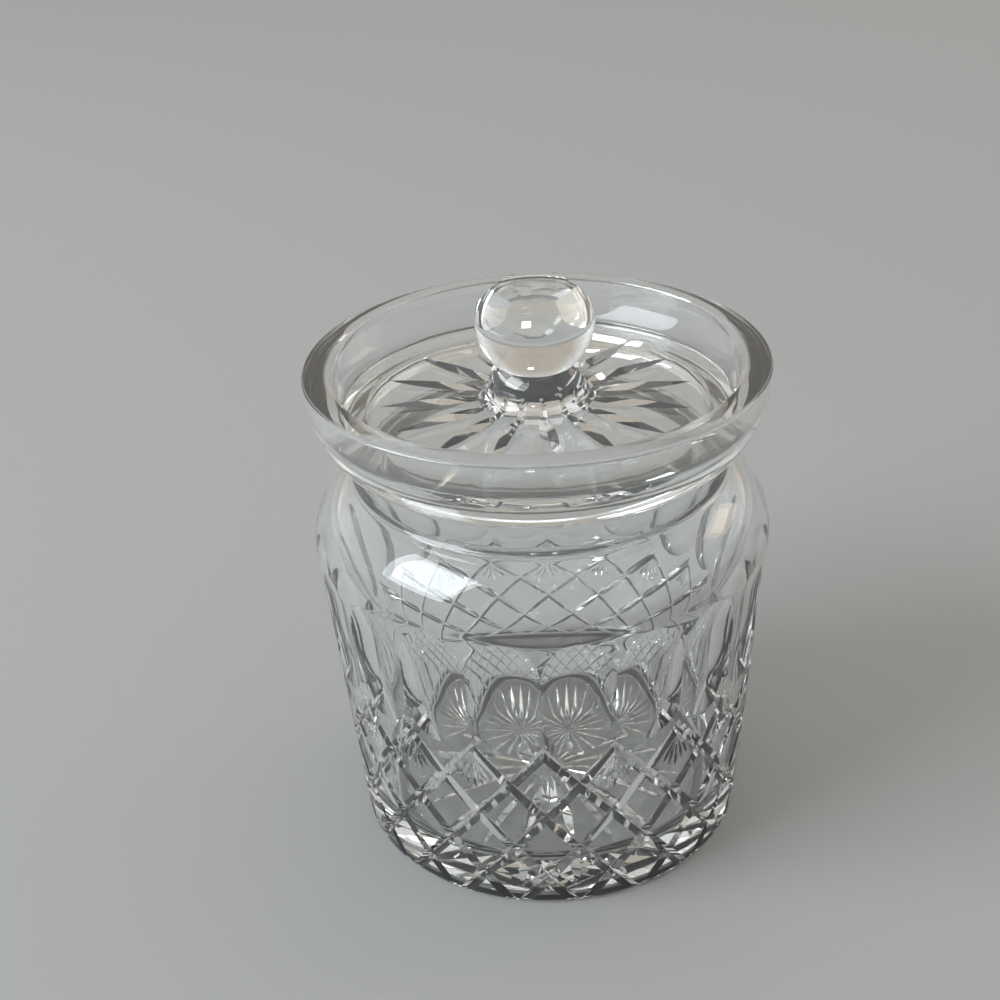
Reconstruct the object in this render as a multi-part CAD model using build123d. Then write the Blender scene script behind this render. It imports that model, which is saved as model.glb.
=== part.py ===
from build123d import *
import os
from math import ceil, cos, radians, sin, sqrt

# Biscuit barrel in cut crystal: a heavy glass jar with a flared collar, and a loose
# flat lid that lies recessed in the collar and is lifted off by its cut ball knob.
# Millimetres. The origin is the centre of the base on the table, and +Z is up.
# Sections are drawn in the XZ plane, X being the radius, and turned about Z.

# Wall of the jar: a slightly flaring cone under a round shoulder
base_radius = 56.2            # cone produced down to the table
base_edge = 2.5               # rounding between the standing ring and the cone
shoulder_radius = 63.9        # top of the cone
shoulder_height = 90.5
shoulder_round = 22.0
wall = 6.5
floor_height = 12.0
floor_round = 8.0
base_recess = 0.8             # hollow inside the standing ring
base_recess_radius = 47.0

# Neck and flared collar, stepping in and out and up from the top of the cone
neck_set_in = 12.4
neck_wall = 4.7
neck_fillet = 3.0
collar_rise = 32.5            # up to the foot, where the collar's underside turns up
collar_foot_overhang = 5.1    # beyond the neck
collar_foot_round = 1.2
collar_curve = 27.0           # radius of the collar's outer curve
collar_spread = 6.5           # from its foot out to its rim
underside_fall = 3.6          # from the collar's foot down to the neck
underside_fillet = 1.5
rim_band = 2.3                # upright band above the curve
rim_edge = 1.0
rim_bevel = 1.6               # inside the rim
rim_wall = 8.1                # from the rim in to the inner wall of the collar
seat_rise = 5.0               # from the collar's foot up to the ledge that the lid lies on

# Lid
lid_gap = 1.8                 # between the lid's edge and the collar
lid_thickness = 4.0
lid_edge = 0.6

# Knob: a cut ball on a short neck, with a spreading foot fused to the lid.
# Heights are from the top of the lid.
foot_radius = 16.0
foot_flare_hollow = 0.7
foot_shoulder_radius = 12.9
foot_shoulder_height = 4.4
foot_shoulder_swell = 0.6
knob_neck_radius = 10.3
knob_neck_height = 9.7
knob_radius = 16.1
girdle_height = 21.5
knob_height = 31.0
knob_facets = 6
table_apothem = 10.05         # middle of the six sided table to its sides
facet_foot_height = 23.0      # where the middle of a facet meets the ball

# Cut bands round the wall: ovals above, and crossing mitres that leave diamonds below
repeats = 20
oval_rise = 2.2               # of the ovals' tops above the cone
oval_length = 36.3
oval_depth = 2.2
mitre_drop = 0.3              # from the ovals' bottoms to the points of the mitres
mitre_rows = 4.88             # crossings from there down to the table
mitre_width = 3.2
mitre_depth = 1.4
mitre_overrun = 0.5           # beyond each crossing

# Stars
lid_rays = 16
lid_star_turn = -3.75         # as the loose lid happens to lie
lid_star_margin = 10.6        # uncut, inside the lid's edge
lid_ray_width = 4.6
lid_ray_depth = 1.2
base_rays = 20
base_star_margin = 4.0        # uncut, inside the hollow's edge
base_ray_width = 6.0
base_ray_depth = 1.6
star_eye = 3.0                # uncut middle of the base star
ray_belly = 0.4               # widest point of a ray, as a share of its length

neck_radius = shoulder_radius - neck_set_in
neck_bore_radius = neck_radius - neck_wall
collar_foot_radius = neck_radius + collar_foot_overhang
collar_foot_height = shoulder_height + collar_rise
rim_radius = collar_foot_radius + collar_spread
curve_height = sqrt(collar_curve ** 2 - (collar_curve - collar_spread) ** 2)
rim_height = collar_foot_height + curve_height + rim_band
seat_radius = rim_radius - rim_wall
seat_height = collar_foot_height + seat_rise
lid_radius = seat_radius - lid_gap
lid_top = seat_height + lid_thickness
pitch = 360 / repeats
flare = (shoulder_radius - base_radius) / shoulder_height
slant = sqrt(1 + flare ** 2)
oval_top = shoulder_height + oval_rise
oval_bottom = oval_top - oval_length
mitre_top = oval_bottom - mitre_drop
cutter_lift = 0.6             # how far a cutter stands out of the glass
cutter_size = 4 * knob_radius


def wall_radius(height):
    """Radius of the jar's cone at a height."""
    return base_radius + flare * height


def shoulder_point(inset, sideways, upward):
    """A point of the shoulder's arc, moved in by an inset, along a direction from its centre."""
    length = sqrt(sideways ** 2 + upward ** 2)
    radius = shoulder_round - inset
    centre_x = shoulder_radius - shoulder_round / slant
    centre_z = shoulder_height + shoulder_round * flare / slant
    return (centre_x + radius * sideways / length, centre_z + radius * upward / length)


def shoulder_height_at(inset, radius):
    """Height at which the shoulder's arc, moved in by an inset, comes in to a radius."""
    centre_x = shoulder_radius - shoulder_round / slant
    centre_z = shoulder_height + shoulder_round * flare / slant
    return centre_z + sqrt((shoulder_round - inset) ** 2 - (radius - centre_x) ** 2)


def rounded(face, corners):
    """Round a drawn section at the given corners: each is a point and its radius."""
    for point, radius in corners:
        nearest = face.vertices().sort_by_distance(Vector(point[0], point[1], 0))[0]
        face = fillet(nearest, radius)
    return face


def turned(face):
    """Turn a section, drawn with the radius along X and the height along Y, about Z."""
    return revolve(Plane.XZ * face, Axis.Z)


def jar_blank():
    """The blown jar before it is cut."""
    axis_bottom = (0, base_recess)
    recess_edge = (base_recess_radius, base_recess)
    ring_inner = (base_recess_radius + base_recess, 0)
    ring_outer = (base_radius, 0)
    cone_top = (shoulder_radius, shoulder_height)
    neck_foot = (neck_radius, shoulder_height_at(0, neck_radius))
    neck_top = (neck_radius, collar_foot_height - underside_fall)
    collar_foot = (collar_foot_radius, collar_foot_height)
    curve_top = (rim_radius, collar_foot_height + curve_height)
    rim_outer = (rim_radius, rim_height)
    bevel_top = (seat_radius + rim_bevel, rim_height)
    bevel_foot = (seat_radius, rim_height - rim_bevel)
    seat_outer = (seat_radius, seat_height)
    seat_inner = (neck_bore_radius, seat_height)
    bore_foot = (neck_bore_radius, shoulder_height_at(wall, neck_bore_radius))
    inner_cone_top = shoulder_point(wall, 1, -flare)
    inner_cone_foot = (wall_radius(floor_height) - wall * slant, floor_height)
    axis_top = (0, floor_height)

    outside = [
        Line(axis_bottom, recess_edge),
        Line(recess_edge, ring_inner),
        Line(ring_inner, ring_outer),
        Line(ring_outer, cone_top),
        ThreePointArc(cone_top, shoulder_point(0, 1, 1), neck_foot),
        Line(neck_foot, neck_top),
        Line(neck_top, collar_foot),
        RadiusArc(collar_foot, curve_top, -collar_curve),
        Line(curve_top, rim_outer),
    ]
    inside = [
        Line(rim_outer, bevel_top),
        Line(bevel_top, bevel_foot),
        Line(bevel_foot, seat_outer),
        Line(seat_outer, seat_inner),
        Line(seat_inner, bore_foot),
        ThreePointArc(bore_foot, shoulder_point(wall, 1, 1), inner_cone_top),
        Line(inner_cone_top, inner_cone_foot),
        Line(inner_cone_foot, axis_top),
        Line(axis_top, axis_bottom),
    ]
    face = make_face(Curve() + outside + inside)
    face = rounded(face, [
        (ring_outer, base_edge),
        (neck_foot, neck_fillet),
        (neck_top, underside_fillet),
        (collar_foot, collar_foot_round),
        (rim_outer, rim_edge),
        (bore_foot, neck_fillet),
        (inner_cone_foot, floor_round),
    ])
    return turned(face)


def wall_place(angle, height, lift):
    """A point at an angle and height on the cone, moved out along the wall's normal."""
    around = radians(angle)
    outward = Vector(cos(around), sin(around), -flare) / slant
    radius = wall_radius(height)
    return Vector(radius * cos(around), radius * sin(around), height) + outward * lift


def oval_cutter(angle):
    """Round edged wheel moved up the wall, which leaves a tall oval hollow.

    Its radius is the one whose cut just meets the next oval.
    """
    middle_radius = wall_radius((oval_top + oval_bottom) / 2)
    half_width = middle_radius * sin(radians(pitch / 2))
    depth_at_edge = oval_depth - middle_radius * (1 - cos(radians(pitch / 2)))
    wheel = (half_width ** 2 + depth_at_edge ** 2) / (2 * depth_at_edge)
    reach = sqrt(wheel ** 2 - (wheel - oval_depth) ** 2)
    low = wall_place(angle, oval_bottom + reach, wheel - oval_depth)
    high = wall_place(angle, oval_top - reach, wheel - oval_depth)
    run = Solid.make_cylinder(wheel, (high - low).length, Plane(low, z_dir=high - low))
    ends = [Solid.make_sphere(wheel).moved(Location(point)) for point in (low, high)]
    return run.fuse(*ends)


def mitre_cutter(start, end):
    """V cut along the wall between two crossings, each given as its angle and height."""
    foot = wall_place(*start, 0)
    head = wall_place(*end, 0)
    outward = wall_place(*start, 1) - foot + wall_place(*end, 1) - head
    along = (head - foot).normalized()
    side = outward.cross(along).normalized()
    half_top = mitre_width / 2 * (mitre_depth + cutter_lift) / mitre_depth
    section = Polyline(
        (0, -mitre_depth), (half_top, cutter_lift), (-half_top, cutter_lift), (0, -mitre_depth)
    )
    place = Plane(foot - along * mitre_overrun, x_dir=side, z_dir=along)
    length = (head - foot).length + 2 * mitre_overrun
    return extrude(place * make_face(section), length, dir=along)


def mitre_cutters():
    """The lattice: from row to row a mitre moves half a pitch to each side."""
    step = mitre_top / mitre_rows
    cutters = []
    for row in range(ceil(mitre_rows)):
        high, low = mitre_top - row * step, mitre_top - (row + 1) * step
        for place in range(repeats):
            angle = -90 + pitch * (place + row % 2 / 2)
            for side in (-pitch / 2, pitch / 2):
                cutters.append(mitre_cutter((angle, high), (angle + side, low)))
    return cutters


def ray_cutter(inner, outer, width, depth):
    """Kite shaped V cut along +X in the plane Z = 0, open upward: a double pyramid."""
    belly = inner + ray_belly * (outer - inner)
    start = Vector(inner, 0, 0)
    tip = Vector(outer, 0, 0)
    left = Vector(belly, width / 2, 0)
    right = Vector(belly, -width / 2, 0)
    faces = []
    for pole in (Vector(belly, 0, -depth), Vector(belly, 0, cutter_lift)):
        for first, second in ((start, left), (left, tip), (tip, right), (right, start)):
            faces.append(Face(Wire.make_polygon([first, second, pole])))
    return Solid(Shell(faces))


def star_cutters(rays, cutter, place):
    """The rays of a star about Z, put in place."""
    return [place * Rot(0, 0, 360 / rays * (ray + 0.5)) * cutter for ray in range(rays)]


def make_barrel_body():
    """The jar, with its ovals, its lattice of mitres and the star under its base."""
    ovals = [oval_cutter(-90 + pitch * (place + 0.5)) for place in range(repeats)]
    star_radius = base_recess_radius - base_star_margin
    ray = ray_cutter(star_eye, star_radius, base_ray_width, base_ray_depth)
    under = Pos(0, 0, base_recess) * Rot(180, 0, 0)
    star = star_cutters(base_rays, ray, under)
    return jar_blank().cut(*ovals).cut(*star).cut(*mitre_cutters())


def make_lid_plate():
    """Flat disc with softened edges and a star cut in its top."""
    disc = Pos(0, 0, seat_height) * Cylinder(
        lid_radius, lid_thickness, align=(Align.CENTER, Align.CENTER, Align.MIN)
    )
    disc = fillet(disc.edges().filter_by(GeomType.CIRCLE), lid_edge)
    ray = ray_cutter(foot_radius, lid_radius - lid_star_margin, lid_ray_width, lid_ray_depth)
    place = Pos(0, 0, lid_top) * Rot(0, 0, lid_star_turn)
    return disc.cut(*star_cutters(lid_rays, ray, place))


def facet_cutter(angle):
    """Block whose inner face is one facet, from the table down to the side of the ball."""
    table_side = Vector(table_apothem, 0, lid_top + knob_height)
    facet_foot = Vector(knob_radius, 0, lid_top + facet_foot_height)
    down = facet_foot - table_side
    outward = Vector(-down.Z, 0, down.X)
    block = Plane(table_side, x_dir=down, z_dir=outward) * Box(
        cutter_size, cutter_size, cutter_size, align=(Align.CENTER, Align.CENTER, Align.MIN)
    )
    return Rot(0, 0, angle) * block


def make_lid_knob():
    """Ball knob, turned and then cut with a table and a ring of flat facets."""
    foot = (foot_radius, 0)
    foot_shoulder = (foot_shoulder_radius, foot_shoulder_height)
    neck = (knob_neck_radius, knob_neck_height)
    girdle = (knob_radius, girdle_height)
    rise = girdle_height - knob_neck_height
    step = knob_radius - knob_neck_radius
    ball = (rise ** 2 + step ** 2) / (2 * step)
    outline = [
        Line((0, 0), foot),
        SagittaArc(foot, foot_shoulder, -foot_flare_hollow),
        SagittaArc(foot_shoulder, neck, foot_shoulder_swell),
        RadiusArc(neck, girdle, -ball),
        Line(girdle, (knob_radius, knob_height)),
        Line((knob_radius, knob_height), (0, knob_height)),
        Line((0, knob_height), (0, 0)),
    ]
    blank = Pos(0, 0, lid_top) * turned(make_face(Curve() + outline))
    facets = [facet_cutter(-90 + 360 / knob_facets * side) for side in range(knob_facets)]
    return blank.cut(*facets)


os.makedirs("parts", exist_ok=True)
export_step(make_barrel_body(), "parts/barrel_body.step")
export_step(make_lid_plate(), "parts/lid_plate.step")
export_step(make_lid_knob(), "parts/lid_knob.step")
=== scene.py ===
from math import asin, atan2, cos, pi, radians, sin, sqrt, tan

import bpy
import numpy as np
from mathutils import Matrix, Vector


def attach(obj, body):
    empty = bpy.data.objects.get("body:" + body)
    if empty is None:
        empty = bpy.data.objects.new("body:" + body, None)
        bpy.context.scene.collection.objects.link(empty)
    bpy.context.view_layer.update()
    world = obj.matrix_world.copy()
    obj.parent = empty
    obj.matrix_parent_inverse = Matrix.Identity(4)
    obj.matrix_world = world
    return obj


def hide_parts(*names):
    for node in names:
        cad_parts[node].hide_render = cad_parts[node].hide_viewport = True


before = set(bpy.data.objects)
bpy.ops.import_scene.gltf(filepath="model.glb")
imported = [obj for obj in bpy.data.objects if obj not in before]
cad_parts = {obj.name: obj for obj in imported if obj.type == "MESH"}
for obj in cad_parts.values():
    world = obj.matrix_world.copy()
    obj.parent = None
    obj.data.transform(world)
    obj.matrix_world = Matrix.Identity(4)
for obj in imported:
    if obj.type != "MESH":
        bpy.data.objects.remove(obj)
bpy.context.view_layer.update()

# Biscuit barrel in cut crystal. The CAD solids give the forms; here the jar and the lid are
# two glass skins, turned on one grid of columns about Z. The ovals and mitres are depths at
# the grid's points; the stars and the fans of short rays are faces drawn in between rings.
# Lengths are in millimetres and become metres where a mesh is made.
MM = 0.001

# Jar, as in the part's source
base_radius, shoulder_radius, shoulder_height, shoulder_round = 56.2, 63.9, 90.5, 22.0
base_edge, wall, floor_height, floor_round = 2.5, 6.5, 12.0, 8.0
base_recess, base_recess_radius = 0.8, 47.0
neck_radius, neck_bore_radius, neck_fillet = 51.5, 46.8, 3.0
collar_foot_radius, collar_foot_height, collar_foot_round, collar_curve = 56.6, 123.0, 1.2, 27.0
underside_fall, underside_fillet = 3.6, 1.5
rim_radius, rim_height, rim_edge, rim_bevel = 63.1, 142.85, 1.0, 1.6
seat_height, seat_radius = 128.0, 55.0

# Lid and knob
lid_radius, lid_thickness, lid_edge = 53.2, 4.0, 0.6
lid_air = 0.05                          # air film between the lid and its seat
foot_radius, foot_flare_hollow = 16.0, 0.7
foot_shoulder_radius, foot_shoulder_height, foot_shoulder_swell = 12.9, 4.4, 0.6
knob_neck_radius, knob_neck_height = 10.3, 9.7
knob_radius, girdle_height, knob_height, knob_facets = 16.1, 21.5, 31.0, 6
table_apothem, facet_foot_height = 10.05, 23.0

# Cuts
repeats = 20
oval_top, oval_bottom, oval_depth = 92.7, 56.4, 2.2
mitre_top, mitre_step, mitre_depth = 56.1, 11.5, 1.4
lid_rays, lid_star_radius, lid_ray_width, lid_ray_depth = 16, 42.6, 4.6, 1.2
base_rays, base_star_radius, base_ray_width, base_ray_depth, star_eye = 20, 43.0, 5.8, 1.6, 3.0
ray_belly = 0.4                         # widest point of a ray, as a share of its length
fan_lengths = (11.5, 10.5, 9.5)         # the middle ray of a fan, those beside it, the outer ones
fan_angle = 13.0                        # degrees from one ray of a fan to the next
fan_ray_width, fan_ray_depth, fan_belly = 1.4, 0.5, 0.65
flute_depth, flute_fall = 0.9, 0.3      # how far a lid ray cuts into the knob's foot, and down
wall_top = 94.0                         # end of the cut wall's rows, on the shoulder's round
collar_start = 1.5                      # degrees of the collar's curve that its foot's round takes
oval_half_turn = radians(8.7)           # half the turn within which an oval's outline is followed
oval_search, oval_deepest = 3.0, 4.0    # reach of the search for the oval's outline and its face

# The grid: a mitre runs through its corners, one row down for each column across
COLUMNS = 720
COLUMNS_PER_CUT = COLUMNS // repeats
MITRE_CELLS = COLUMNS_PER_CUT // 2      # rows from one crossing of the mitres to the next
MITRE_HALF = 4                          # half width of a mitre, in columns
LID_RAY_COLUMN = 15                     # first ray of the lid's star
LID_RAY_HALF = 8                        # half width of a ray at the knob's foot, in columns
UNDER_ROWS, OVAL_ROWS, OVER_ROWS = 6, 40, 12    # from the lattice to the oval, in it, above it
EDGE_ROWS = 3                           # rows of the lattice that run round the base's edge
column = np.arange(COLUMNS)
column_turn = 2 * pi / COLUMNS
azimuth = -pi / 2 + column_turn * column

# Steps along rays and rounds
LEAF_STEPS, FAN_STEPS, TAIL_STEPS = 12, 6, 3
CORNER_STEPS, SMALL_CORNER_STEPS, FILLET_STEPS = 10, 6, 8
SHOULDER_STEPS, COLLAR_STEPS, FLOOR_STEPS = 28, 18, 16
FLARE_STEPS, SWELL_STEPS, BALL_STEPS, BALL_TOP_STEPS = 10, 8, 24, 8
HALVINGS = 40
SHARP_ANGLE = radians(13)               # edges that turn by more stay crisp

flare = (shoulder_radius - base_radius) / shoulder_height
slant = sqrt(1 + flare ** 2)
arc_x = shoulder_radius - shoulder_round / slant
arc_z = shoulder_height + shoulder_round * flare / slant
lid_top = seat_height + lid_thickness
row_step = mitre_step / MITRE_CELLS

# A lid ray's width at the knob's foot, as a share of its widest
foot_share = 2 * foot_radius * sin(column_turn * LID_RAY_HALF) / lid_ray_width

# Glass: a little of its surface scatters, as a faint haze, and hand polishing leaves it wavy
glass_color, glass_ior, glass_transmission = (0.975, 0.99, 0.985, 1), 1.55, 0.97
wave_scale, wave_detail, wave_strength, wave_height = 90, 2, 0.06, 0.0003

# Light, in metres: the room's colour by the sine of the elevation, and its shade from the
# front, behind the camera, to the back
room_by_height = [
    (0, (0.95, 0.97, 0.98)),
    (0.35, (0.94, 0.96, 0.96)),
    (0.60, (0.84, 0.84, 0.82)),
    (1.0, (0.78, 0.78, 0.76)),
]
room_by_depth = [
    (0, (0.66, 0.63, 0.60)),
    (0.22, (0.80, 0.78, 0.76)),
    (0.42, (1.0, 1.0, 1.0)),
    (0.80, (1.0, 1.0, 1.0)),
    (0.93, (0.50, 0.44, 0.38)),
    (1.0, (0.44, 0.38, 0.32)),
]
floor_size, floor_color, floor_roughness = 8, (0.32, 0.32, 0.315, 1), 0.8
lamp_distance = 2.5
lamp_target = Vector((0, 0, 0.08))
# name, bearing, elevation, width and height in degrees, brightness, colour
lamps = [
    ("window", -115, 33, 36, 38, 7.0, (0.86, 0.93, 1.0)),
    ("far_window", 3, 23.5, 4.5, 1.6, 14.0, (0.9, 0.95, 1.0)),
    ("warm_wall", 63, 24, 20, 14, 2.0, (1.0, 0.80, 0.58)),
    ("skylight", 20, 72, 26, 18, 1.2, (0.97, 0.98, 1.0)),
]

# Camera: its distance from the axis and its height in millimetres, its angles in degrees,
# and its focal length as a share of the frame's width
camera_distance, camera_height, camera_bearing = 398.0, 319.9, 1.51
camera_yaw, camera_pitch, camera_roll = -1.653, 28.979, -2.813
camera_focal, sensor_width = 1.6122, 36


class Skin:
    """Points and faces of one glass piece, made of rings about Z."""

    def __init__(self):
        self.points = []
        self.faces = []

    def add(self, x, y, z):
        self.points.append((x, y, z))
        return len(self.points) - 1

    def ring(self, radius, height):
        """A ring of one point per column; radius and height may differ by column."""
        first = len(self.points)
        radius = np.broadcast_to(radius, COLUMNS)
        height = np.broadcast_to(height, COLUMNS)
        self.points.extend(zip(radius * np.cos(azimuth), radius * np.sin(azimuth), height))
        return first + column

    def band(self, lower, upper, depths=None, gaps=None):
        """Faces between two rings. With the depths of the cut, each cell is split along it.

        A face whose points all lie in a gap is left out.
        """
        across = np.roll(column, -1)
        if depths is None:
            self.faces.extend(zip(lower, lower[across], upper[across], upper))
            return
        low, high = depths
        rising = np.abs(low - high[across]) < np.abs(low[across] - high)
        in_gap = dict(zip((*lower, *upper), np.concatenate(gaps)))
        for a in column:
            b = across[a]
            if rising[a]:
                cell = (lower[a], lower[b], upper[b]), (lower[a], upper[b], upper[a])
            else:
                cell = (lower[a], lower[b], upper[a]), (lower[b], upper[b], upper[a])
            self.faces.extend(face for face in cell if not all(in_gap[point] for point in face))

    def bands(self, section, last=None):
        """Turn a section, a list of (radius, height); returns its last ring."""
        for radius, height in section:
            ring = self.ring(radius, height)
            if last is not None:
                self.band(last, ring)
            last = ring
        return last

    def face(self, points, up=True):
        """A face in its points' order, or turned over; points that meet count once."""
        points = list(dict.fromkeys(points))
        if len(points) > 2:
            self.faces.append(points if up else points[::-1])

    def make(self, name, material, body, nodes):
        """The mesh of the skin, riding on a body in place of its CAD nodes."""
        mesh = bpy.data.meshes.new(name)
        faces = [[int(point) for point in face] for face in self.faces]
        mesh.from_pydata((np.array(self.points) * MM).tolist(), [], faces)
        mesh.shade_smooth()
        mesh.set_sharp_from_angle(angle=SHARP_ANGLE)
        mesh.materials.append(material)
        glass = bpy.data.objects.new(name, mesh)
        bpy.context.scene.collection.objects.link(glass)
        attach(glass, body)
        for node in nodes:
            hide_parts(node)


def arc(centre, radius, start, end, steps):
    """Points of an arc, the angles in degrees from the outward direction."""
    angles = np.radians(np.linspace(start, end, steps + 1))
    return [(centre[0] + radius * cos(a), centre[1] + radius * sin(a)) for a in angles]


def corner(before, at, after, radius, steps=CORNER_STEPS):
    """The arc that rounds a corner of a section."""
    at = Vector(at)
    back = (Vector(before) - at).normalized()
    on = (Vector(after) - at).normalized()
    half = back.angle(on) / 2
    centre = at + (back + on).normalized() * radius / sin(half)
    start = at + back * radius / tan(half) - centre
    turn = start.angle_signed(at + on * radius / tan(half) - centre)
    first = atan2(start.y, start.x)
    angles = np.linspace(first, first - turn, steps + 1)
    return [(centre.x + radius * cos(a), centre.y + radius * sin(a)) for a in angles]


def bowed(start, end, bow, steps):
    """Points of an arc that bows outward, to the right of its way, by a given height."""
    start, end = Vector(start), Vector(end)
    chord = end - start
    side = Vector((chord.y, -chord.x)).normalized()
    points = []
    for share in np.linspace(0, 1, steps + 1):
        points.append(tuple(start + chord * share + side * 4 * bow * share * (1 - share)))
    return points


def jar_radius(height):
    """Outer radius of the uncut jar, up the cone and the start of the shoulder."""
    on_arc = arc_x + np.sqrt(np.maximum(shoulder_round ** 2 - (height - arc_z) ** 2, 0))
    return np.where(height < shoulder_height, base_radius + flare * height, on_arc)


# The round edged wheel that cuts an oval runs from its low to its high place
middle_radius = base_radius + flare * (oval_top + oval_bottom) / 2
half_width = middle_radius * sin(pi / repeats)
edge_depth = oval_depth - middle_radius * (1 - cos(pi / repeats))
wheel = (half_width ** 2 + edge_depth ** 2) / (2 * edge_depth)
wheel_reach = sqrt(wheel ** 2 - (wheel - oval_depth) ** 2)
wheel_places = [
    np.array((
        base_radius + flare * height + (wheel - oval_depth) / slant,
        height - (wheel - oval_depth) * flare / slant,
    ))
    for height in (oval_bottom + wheel_reach, oval_top - wheel_reach)
]


def clear_of_wheel(radius, offset, height):
    """How far a point at an angle from the oval's middle is outside the wheel's path."""
    low, high = wheel_places
    run = high - low
    out, side = radius * np.cos(offset), radius * np.sin(offset)
    share = ((out - low[0]) * run[0] + (height - low[1]) * run[1]) / (run @ run)
    share = np.clip(share, 0, 1)
    away = (out - low[0] - share * run[0]) ** 2 + (height - low[1] - share * run[1]) ** 2
    return np.sqrt(away + side ** 2) - wheel


def halved(test, inner, outer):
    """Where a test turns from true at the inner value to false, found by halving."""
    for _ in range(HALVINGS):
        middle = (inner + outer) / 2
        true = test(middle)
        inner, outer = np.where(true, middle, inner), np.where(true, outer, middle)
    return inner


def oval_edge(offset, end):
    """Height at which the oval's outline crosses each column, towards one end."""
    middle = (oval_top + oval_bottom) / 2
    narrow = np.minimum(np.abs(offset), oval_half_turn)
    return halved(lambda z: clear_of_wheel(jar_radius(z), narrow, z) < 0, middle, end)


def mitre_depths(row):
    """Depth of the crossing mitres in a row, counted down from their top."""
    nearest = COLUMNS_PER_CUT * np.ones(COLUMNS)
    for way in (-1, 1):
        from_cut = (column + way * row + MITRE_CELLS) % COLUMNS_PER_CUT - MITRE_CELLS
        nearest = np.minimum(nearest, np.abs(from_cut))
    return mitre_depth * np.maximum(0, 1 - nearest / MITRE_HALF)


def mitre_ends(row):
    """Depth of the pointed upper ends of the mitres, a row above their top."""
    from_end = np.abs((column + MITRE_CELLS) % COLUMNS_PER_CUT - MITRE_CELLS)
    return mitre_depth * np.maximum(0, 1 - (from_end + row) / MITRE_HALF)


def in_fan(row):
    """Which points of a row lie on the uncut middle of a diamond of the top row."""
    from_middle = np.abs((column + MITRE_CELLS) % COLUMNS_PER_CUT - MITRE_CELLS)
    return from_middle + abs(row - MITRE_CELLS) <= MITRE_CELLS - MITRE_HALF


def fan(skin, rings, middle):
    """The middle of a top diamond, with short rays spreading down from its upper corner."""
    reach = MITRE_CELLS - MITRE_HALF
    bottom_row = MITRE_CELLS + reach
    top = mitre_top - MITRE_HALF * row_step
    column_width = (base_radius + flare * (top - fan_lengths[0] / 2)) * column_turn

    def edge(across):
        """Points of the diamond's outline from its side to its bottom, up to a column."""
        side = 1 if across > 0 else -1
        return [rings[bottom_row - reach + k][(middle + side * (reach - k)) % COLUMNS]
                for k in range(reach - abs(across) + 1)]

    def upper(side):
        """Points of the outline from the upper corner to a side."""
        return [rings[MITRE_HALF + k][(middle + side * k) % COLUMNS] for k in range(1, reach)]

    def place(run, turn, aside, depth):
        """A point at a distance down a ray, to its side, and into the glass."""
        height = top - (run * cos(turn) + aside * sin(turn)) / slant
        across = (run * sin(turn) - aside * cos(turn)) / column_width
        around = azimuth[middle] + across * column_turn
        radius = base_radius + flare * height - depth
        return skin.add(radius * cos(around), radius * sin(around), height)

    start = rings[MITRE_HALF][middle]
    rays = []
    for number in range(1 - len(fan_lengths), len(fan_lengths)):
        turn, length = radians(number * fan_angle), fan_lengths[abs(number)]
        left, centre, right = [start], [start], [start]
        for step in range(1, FAN_STEPS):
            share = leaf_share(step / FAN_STEPS, 0, 1, fan_belly)
            run, half = length * step / FAN_STEPS, fan_ray_width / 2 * share
            left.append(place(run, turn, half, 0))
            centre.append(place(run, turn, 0, fan_ray_depth * share))
            right.append(place(run, turn, -half, 0))
        tip = place(length, turn, 0, 0)
        for line in (left, centre, right):
            line.append(tip)
        for line, other in ((left, centre), (centre, right)):
            for step in range(FAN_STEPS):
                skin.face([line[step], line[step + 1], other[step + 1], other[step]])
        rays.append((left, right, round(length * sin(turn) / column_width)))

    (first_left, _, first_foot), (_, last_right, last_foot) = rays[0], rays[-1]
    skin.face([start, *upper(-1), *edge(first_foot), *first_left[:0:-1]])
    for (_, right, foot), (next_left, _, next_foot) in zip(rays, rays[1:]):
        below = [rings[bottom_row - abs(k)][(middle + k) % COLUMNS] for k in range(foot, next_foot + 1)]
        skin.face([start, *right[1:], *below, *next_left[:0:-1]])
    skin.face([start, *last_right[1:], *edge(last_foot)[::-1], *upper(1)[::-1]])


def lattice_rows():
    """Rings of the mitre lattice, from the base's rounded edge up: radius, height, depth."""
    outward = np.array((1, -flare)) / slant
    upward = np.array((flare, 1)) / slant
    edge_turn = pi / 2 - atan2(flare, 1)
    edge_top = np.array((base_radius, 0)) + upward * base_edge * tan(edge_turn / 2)
    edge_centre = edge_top - outward * base_edge
    lowest_row = int((mitre_top - edge_top[1]) / row_step)
    rows = []

    def turn_at(row):
        """How far round the base's edge a row of the lattice lies."""
        return asin(min(1, (row * row_step + edge_top[1] - mitre_top) * slant / base_edge))

    last_row = lowest_row + EDGE_ROWS
    tail = np.linspace(edge_turn, turn_at(last_row), TAIL_STEPS + 1)[:-1]
    places = [(turn, last_row + 1) for turn in tail]
    places += [(turn_at(row), row) for row in range(last_row, lowest_row, -1)]
    for turn, row in places:
        place = edge_centre + base_edge * (outward * cos(turn) - upward * sin(turn))
        depth = np.maximum(0, mitre_depths(row) - base_edge * (1 - cos(turn)))
        rows.append((place[0] - outward[0] * depth, place[1] - outward[1] * depth, depth))
    for row in range(lowest_row, -1, -1):
        height = mitre_top - row * row_step
        depth = mitre_depths(row)
        radius = base_radius + flare * height - outward[0] * depth
        rows.append((radius, height - outward[1] * depth, depth))
    return rows


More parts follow.
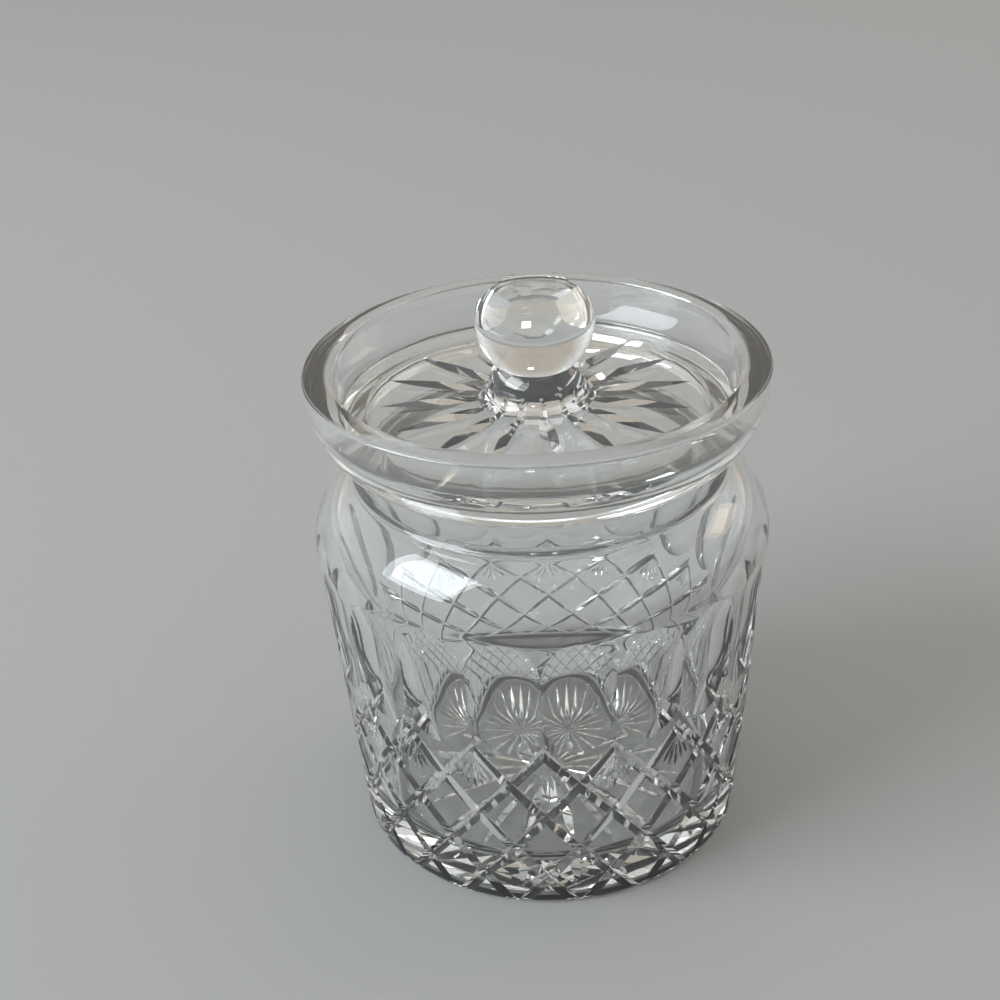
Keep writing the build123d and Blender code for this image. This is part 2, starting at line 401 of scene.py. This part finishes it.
def oval_band_rows():
    """Rings from the lattice's top through the ovals to the shoulder: radius, height, depth."""
    offset = (column % COLUMNS_PER_CUT - MITRE_CELLS) * column_turn
    low_edge = oval_edge(offset, oval_bottom - oval_search)
    high_edge = oval_edge(offset, oval_top + oval_search)
    step = np.minimum(row_step, (low_edge - mitre_top) / UNDER_ROWS)
    rows = []
    for row in range(1, UNDER_ROWS + 1):
        height = mitre_top + step * row
        if row > MITRE_HALF:
            share = (row - MITRE_HALF) / (UNDER_ROWS - MITRE_HALF)
            height = mitre_top + step * MITRE_HALF * (1 - share) + (low_edge - mitre_top) * share
        depth = mitre_ends(row)
        rows.append((jar_radius(height) - depth, height, depth))
    for row in range(1, OVAL_ROWS + 1):
        height = low_edge + (high_edge - low_edge) * row / OVAL_ROWS
        blank = jar_radius(height)
        radius = halved(lambda r: clear_of_wheel(r, offset, height) > 0, blank - oval_deepest, blank)
        rows.append((radius, height, blank - radius))
    for row in range(1, OVER_ROWS + 1):
        height = high_edge + (wall_top - high_edge) * row / OVER_ROWS
        rows.append((jar_radius(height), height, np.zeros(COLUMNS)))
    return rows


def jar_wall(skin, last):
    """The cut wall from the base's rounded edge to the shoulder."""
    lattice = lattice_rows()
    depth, gap, rings = np.zeros(COLUMNS), np.zeros(COLUMNS, bool), {}
    for number, (radius, height, next_depth) in enumerate(lattice + oval_band_rows()):
        ring = skin.ring(radius, height)
        row = len(lattice) - 1 - number
        next_gap = in_fan(row)
        skin.band(last, ring, (depth, next_depth), (gap, next_gap))
        last, depth, gap, rings[row] = ring, next_depth, next_gap, ring
    for middle in range(0, COLUMNS, COLUMNS_PER_CUT):
        fan(skin, rings, middle)
    return last


def leaf_share(along, start, power, belly=ray_belly):
    """Width of a ray as a share of its widest, at a share of its length.

    It swells from its share at the start, the fuller the higher the power, to its belly.
    """
    if along < belly:
        return start + (1 - start) * (1 - (1 - along / belly) ** power)
    return 1 - ((along - belly) / (1 - belly)) ** 2


def star_leaf(skin, middle, radii, width, depth, height, inner_ring):
    """Points of one V cut ray, about its middle column: its left, middle and right lines."""
    up = inner_ring is not None
    inner, outer = radii
    ahead = Vector((cos(azimuth[middle]), sin(azimuth[middle])))
    left_way = Vector((-ahead.y, ahead.x))
    if up:
        left = [inner_ring[(middle + LID_RAY_HALF) % COLUMNS]]
        centre = [inner_ring[middle]]
        right = [inner_ring[(middle - LID_RAY_HALF) % COLUMNS]]
    else:
        start = skin.add(*(ahead * inner), height)
        left, centre, right = [start], [start], [start]
    for step in range(1, LEAF_STEPS):
        share = leaf_share(step / LEAF_STEPS, foot_share if up else 0, 2 if up else 1)
        on = ahead * (inner + (outer - inner) * step / LEAF_STEPS)
        away = left_way * width / 2 * share
        left.append(skin.add(*(on + away), height))
        centre.append(skin.add(*on, height - depth * share * (1 if up else -1)))
        right.append(skin.add(*(on - away), height))
    tip = skin.add(*(ahead * outer), height)
    for line in (left, centre, right):
        line.append(tip)
    return left, centre, right


def star(skin, rays, first_column, radii, width, depth, height, outer_ring, inner_ring=None):
    """A ring of V cut, leaf shaped rays in a flat face, facing up from an inner ring or down."""
    up = inner_ring is not None
    span = COLUMNS // rays
    middles = [(first_column + ray * COLUMNS // rays) % COLUMNS for ray in range(rays)]
    leaves = [star_leaf(skin, middle, radii, width, depth, height, inner_ring) for middle in middles]

    for middle, (left, centre, right), next_leaf in zip(middles, leaves, leaves[1:] + leaves[:1]):
        for step in range(LEAF_STEPS):
            on_left, on_right = [], []
            if step == 0 and up:
                on_left = [inner_ring[(middle + k) % COLUMNS] for k in range(LID_RAY_HALF - 1, 0, -1)]
                on_right = [inner_ring[(middle - k) % COLUMNS] for k in range(1, LID_RAY_HALF)]
            skin.face([centre[step], centre[step + 1], left[step + 1], left[step], *on_left], up)
            skin.face([right[step], right[step + 1], centre[step + 1], centre[step], *on_right], up)
        outline = [outer_ring[(middle + k) % COLUMNS] for k in range(span + 1)]
        outline += next_leaf[2][::-1]
        if up:
            outline += [inner_ring[(middle + k) % COLUMNS]
                        for k in range(span - LID_RAY_HALF - 1, LID_RAY_HALF, -1)]
        skin.face(outline + left, up)
    if not up:
        skin.face([centre[0] for left, centre, right in leaves], up)


def jar_outside():
    """Section of the shoulder, the neck, the collar and its seat."""
    start = np.degrees(asin((wall_top - arc_z) / shoulder_round))
    fillet_x = neck_radius + neck_fillet
    fillet_z = arc_z + sqrt((shoulder_round + neck_fillet) ** 2 - (fillet_x - arc_x) ** 2)
    turn = np.degrees(atan2(fillet_z - arc_z, fillet_x - arc_x))
    section = arc((arc_x, arc_z), shoulder_round, start, turn, SHOULDER_STEPS)[1:]
    section += arc((fillet_x, fillet_z), neck_fillet, 180 + turn, 180, FILLET_STEPS)[1:]
    neck_top = (neck_radius, collar_foot_height - underside_fall)
    collar_foot = (collar_foot_radius, collar_foot_height)
    inward = collar_curve - (rim_radius - collar_foot_radius)
    rise = sqrt(collar_curve ** 2 - inward ** 2)
    curve_z = collar_foot_height + rise
    low = collar_start - np.degrees(atan2(rise, inward))
    along = (collar_foot_radius + rise, collar_foot_height + inward)
    neck_foot = (neck_radius, fillet_z)
    section += corner(neck_foot, neck_top, collar_foot, underside_fillet, SMALL_CORNER_STEPS)
    section += corner(neck_top, collar_foot, along, collar_foot_round, SMALL_CORNER_STEPS)
    section += arc((rim_radius - collar_curve, curve_z), collar_curve, low, 0, COLLAR_STEPS)
    bevel_top = (seat_radius + rim_bevel, rim_height)
    bevel_foot = (seat_radius, rim_height - rim_bevel)
    section += corner((rim_radius, curve_z), (rim_radius, rim_height), bevel_top, rim_edge)
    return section + [bevel_top, bevel_foot, (seat_radius, seat_height), (neck_bore_radius, seat_height)]


def jar_inside():
    """Section of the bore, the inside of the shoulder, the cone and the floor."""
    inner_round = shoulder_round - wall
    bore_x = neck_bore_radius + neck_fillet
    bore_z = arc_z + sqrt((inner_round + neck_fillet) ** 2 - (bore_x - arc_x) ** 2)
    turn = np.degrees(atan2(bore_z - arc_z, bore_x - arc_x))
    cone = -np.degrees(atan2(flare, 1))
    section = arc((bore_x, bore_z), neck_fillet, 180, 180 + turn, FILLET_STEPS)
    section += arc((arc_x, arc_z), inner_round, turn, cone, SHOULDER_STEPS)[1:]
    floor_corner = (base_radius + flare * floor_height - wall * slant, floor_height)
    return section + corner(section[-1], floor_corner, (0, floor_height), floor_round, FLOOR_STEPS)


def make_jar(material):
    """The jar as one skin: base star, cut wall, collar and inside."""
    skin = Skin()
    recess = skin.ring(base_recess_radius, base_recess)
    star(skin, base_rays, MITRE_CELLS, (star_eye, base_star_radius), base_ray_width,
         base_ray_depth, base_recess, recess)
    ring_outer = base_radius - base_edge * tan((pi / 2 - atan2(flare, 1)) / 2)
    last = skin.bands([(base_recess_radius + base_recess, 0), (ring_outer, 0)], recess)
    last = jar_wall(skin, last)
    skin.face(skin.bands(jar_outside() + jar_inside(), last))
    skin.make("crystal_jar", material, "barrel", ["barrel_body"])


def knob_foot(skin, last, flute):
    """The knob's foot, where the flutes of the lid's rays fade out."""
    shoulder = (foot_shoulder_radius, foot_shoulder_height)
    foot = bowed((foot_radius, 0), shoulder, -foot_flare_hollow, FLARE_STEPS)
    for step, (radius, height) in enumerate(foot[1:], 1):
        faded = flute * (1 - step / FLARE_STEPS)
        ring = skin.ring(radius - flute_depth * faded, lid_top + height - flute_fall * faded)
        skin.band(last, ring)
        last = ring
    return last


def knob_ball(skin, last):
    """The knob from its foot up: a ball with flat facets round a flat table."""
    shoulder = (foot_shoulder_radius, foot_shoulder_height)
    neck = (knob_neck_radius, knob_neck_height)
    rise, reach = girdle_height - knob_neck_height, knob_radius - knob_neck_radius
    ball = (rise ** 2 + reach ** 2) / (2 * reach)
    ball_x = knob_radius - ball
    low = -np.degrees(asin(rise / ball))
    section = bowed(shoulder, neck, foot_shoulder_swell, SWELL_STEPS)[1:]
    section += arc((ball_x, girdle_height), ball, low, 0, BALL_STEPS)[1:]
    last = skin.bands([(radius, lid_top + height) for radius, height in section], last)

    from_facet = (azimuth + pi / 2 + pi / knob_facets) % (2 * pi / knob_facets) - pi / knob_facets
    fall = (knob_height - facet_foot_height) / (knob_radius - table_apothem)

    def under_facet(turn):
        """Whether the ball, at an angle above its girdle, still lies under the facets."""
        reached = (ball_x + ball * np.cos(turn)) * np.cos(from_facet)
        return girdle_height + ball * np.sin(turn) < knob_height - (reached - table_apothem) * fall

    top = halved(under_facet, 0, pi / 3)
    for step in range(1, BALL_TOP_STEPS + 1):
        turn = top * step / BALL_TOP_STEPS
        height = lid_top + girdle_height + ball * np.sin(turn)
        last = skin.bands([(ball_x + ball * np.cos(turn), height)], last)
    return skin.bands([(table_apothem / np.cos(from_facet), lid_top + knob_height)], last)


def make_lid(material):
    """The lid's plate with its star, and the knob, as one skin."""
    skin = Skin()
    bottom = seat_height + lid_air
    low, high = (lid_radius, bottom), (lid_radius, lid_top)
    section = corner((0, bottom), low, high, lid_edge) + corner(low, high, (0, lid_top), lid_edge)
    first = skin.ring(*section[0])
    skin.face(first, up=False)
    outer = skin.bands(section[1:], first)

    span = COLUMNS // lid_rays
    from_ray = (column - LID_RAY_COLUMN + span // 2) % span - span // 2
    flute = np.maximum(0, 1 - np.abs(from_ray) / LID_RAY_HALF)
    foot = skin.ring(foot_radius, lid_top - flute * lid_ray_depth * foot_share)
    star(skin, lid_rays, LID_RAY_COLUMN, (foot_radius, lid_star_radius), lid_ray_width,
         lid_ray_depth, lid_top, outer, foot)
    skin.face(knob_ball(skin, knob_foot(skin, foot, flute)))
    skin.make("crystal_lid", material, "lid", ["lid_plate", "lid_knob"])


def crystal(name):
    """Clear lead crystal; a faint waviness is left by hand polishing."""
    material = bpy.data.materials.new(name)
    material.use_nodes = True
    nodes, links = material.node_tree.nodes, material.node_tree.links
    shader = nodes["Principled BSDF"]
    shader.inputs["Base Color"].default_value = glass_color
    shader.inputs["Roughness"].default_value = 0.0
    shader.inputs["IOR"].default_value = glass_ior
    shader.inputs["Transmission Weight"].default_value = glass_transmission
    place = nodes.new("ShaderNodeTexCoord")
    noise = nodes.new("ShaderNodeTexNoise")
    noise.inputs["Scale"].default_value = wave_scale
    noise.inputs["Detail"].default_value = wave_detail
    bump = nodes.new("ShaderNodeBump")
    bump.inputs["Strength"].default_value = wave_strength
    bump.inputs["Distance"].default_value = wave_height
    links.new(place.outputs["Object"], noise.inputs["Vector"])
    links.new(noise.outputs["Fac"], bump.inputs["Height"])
    links.new(bump.outputs["Normal"], shader.inputs["Normal"])
    return material


def make_floor():
    """A plain pale floor."""
    bpy.ops.mesh.primitive_plane_add(size=floor_size)
    floor = bpy.context.object
    floor.name = "floor"
    material = bpy.data.materials.new("floor_pale")
    material.use_nodes = True
    shader = material.node_tree.nodes["Principled BSDF"]
    shader.inputs["Base Color"].default_value = floor_color
    shader.inputs["Roughness"].default_value = floor_roughness
    floor.data.materials.append(material)


def lamp(name, bearing, elevation, width, height, brightness, color):
    """A soft window of light, placed and sized by the angles it takes up from the jar.

    The bearing is from +Y towards +X. The brightness is that of its surface, 1 being white.
    """
    around, rise = radians(bearing), radians(elevation)
    way = Vector((sin(around) * cos(rise), cos(around) * cos(rise), sin(rise)))
    data = bpy.data.lights.new(name, "AREA")
    data.shape = "RECTANGLE"
    data.size = 2 * lamp_distance * tan(radians(width / 2))
    data.size_y = 2 * lamp_distance * tan(radians(height / 2))
    data.energy = brightness * pi * data.size * data.size_y
    data.color = color
    light = bpy.data.objects.new(name, data)
    bpy.context.scene.collection.objects.link(light)
    light.location = lamp_target + way * lamp_distance
    light.rotation_euler = way.to_track_quat("Z", "Y").to_euler()


def ramp(nodes, colors):
    """A colour ramp with the given stops, each a position and a colour."""
    node = nodes.new("ShaderNodeValToRGB")
    stops = node.color_ramp.elements
    while len(stops) < len(colors):
        stops.new(0.5)
    for stop, (position, color) in zip(stops, colors):
        stop.position = position
        stop.color = (*color, 1)
    return node


def room():
    """A pale room round the table, a little darker behind the camera, with a warm far wall."""
    world = bpy.data.worlds.new("room")
    bpy.context.scene.world = world
    world.use_nodes = True
    nodes, links = world.node_tree.nodes, world.node_tree.links
    place = nodes.new("ShaderNodeTexCoord")
    split = nodes.new("ShaderNodeSeparateXYZ")
    depth = nodes.new("ShaderNodeMapRange")
    depth.inputs["From Min"].default_value = -1
    by_height, by_depth = ramp(nodes, room_by_height), ramp(nodes, room_by_depth)
    both = nodes.new("ShaderNodeMixRGB")
    both.blend_type = "MULTIPLY"
    both.inputs["Fac"].default_value = 1
    links.new(place.outputs["Generated"], split.inputs["Vector"])
    links.new(split.outputs["Z"], by_height.inputs["Fac"])
    links.new(split.outputs["Y"], depth.inputs["Value"])
    links.new(depth.outputs["Result"], by_depth.inputs["Fac"])
    links.new(by_height.outputs["Color"], both.inputs["Color1"])
    links.new(by_depth.outputs["Color"], both.inputs["Color2"])
    links.new(both.outputs["Color"], nodes["Background"].inputs["Color"])


def light():
    """The room and its lamps."""
    room()
    for values in lamps:
        lamp(*values)


def photo_camera():
    """Camera fitted to the rim, the outline and the cut pattern of the jar."""
    turn = radians(camera_bearing)
    yaw, pitch, roll = radians(camera_yaw) - turn, radians(camera_pitch), radians(camera_roll)
    ahead = Vector((sin(yaw) * cos(pitch), cos(yaw) * cos(pitch), -sin(pitch)))
    right = ahead.cross(Vector((0, 0, 1))).normalized()
    up = right.cross(ahead)
    x_axis = right * cos(roll) + up * sin(roll)
    y_axis = up * cos(roll) - right * sin(roll)
    data = bpy.data.cameras.new("camera")
    data.sensor_width = sensor_width
    data.lens = sensor_width * camera_focal
    camera = bpy.data.objects.new("camera", data)
    bpy.context.scene.collection.objects.link(camera)
    axes = Matrix((x_axis, y_axis, -ahead)).transposed()
    away = Vector((sin(turn), -cos(turn), 0)) * camera_distance
    place = (away + Vector((0, 0, camera_height))) * MM
    camera.matrix_world = Matrix.Translation(place) @ axes.to_4x4()
    bpy.context.scene.camera = camera


make_jar(crystal("jar_glass"))
make_lid(crystal("lid_glass"))
make_floor()
light()
photo_camera()
bpy.context.scene.view_settings.view_transform = "Standard"
